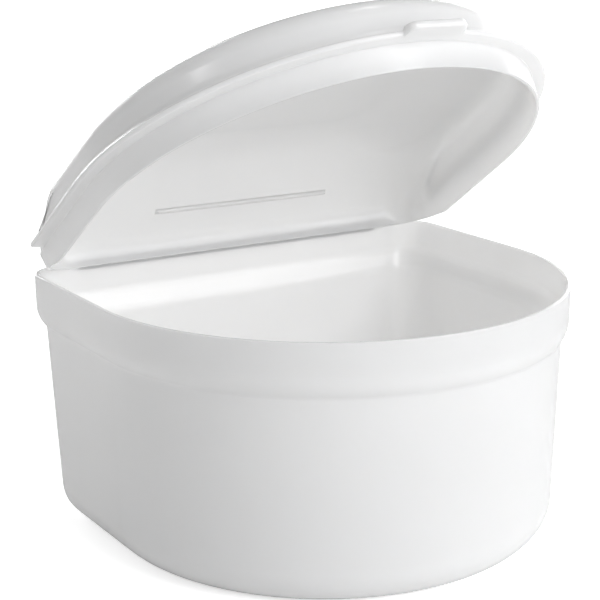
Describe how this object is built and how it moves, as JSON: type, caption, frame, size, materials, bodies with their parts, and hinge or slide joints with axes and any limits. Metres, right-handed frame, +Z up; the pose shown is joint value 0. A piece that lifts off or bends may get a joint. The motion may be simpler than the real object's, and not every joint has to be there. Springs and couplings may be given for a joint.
{
  "type": "denture case",
  "caption": "D-shaped case with a deep tub and a domed plug lip lid, joined along the flat back by a living hinge, with a thumb tab at the front.",
  "frame": {"origin": "centre of the flat base's outline box, on the surface that the case stands on", "axes": "+Z up out of the tub's mouth, -Y towards the round front and the thumb tab, +Y towards the flat back with the hinge, +X along the hinge to the right seen from the front"},
  "size_m": [0.0932, 0.0798, 0.099],
  "materials": {
    "case_plastic": "glossy as moulded, white polypropylene",
    "web_plastic": "thin flexed polypropylene, slightly whitened"
  },
  "bodies": {
    "tub": {"tub": "case_plastic", "hinge_web": "web_plastic"},
    "lid": {"lid": "case_plastic"}
  },
  "joints": [
    {"name": "lid_hinge", "type": "hinge", "parent": "tub", "child": "lid", "pos_m": [0, 0.03985, 0.0476], "axis": [-1, 0, 0], "range_deg": [-35.1, 144.9], "deforming": ["hinge_web"]}
  ]
}
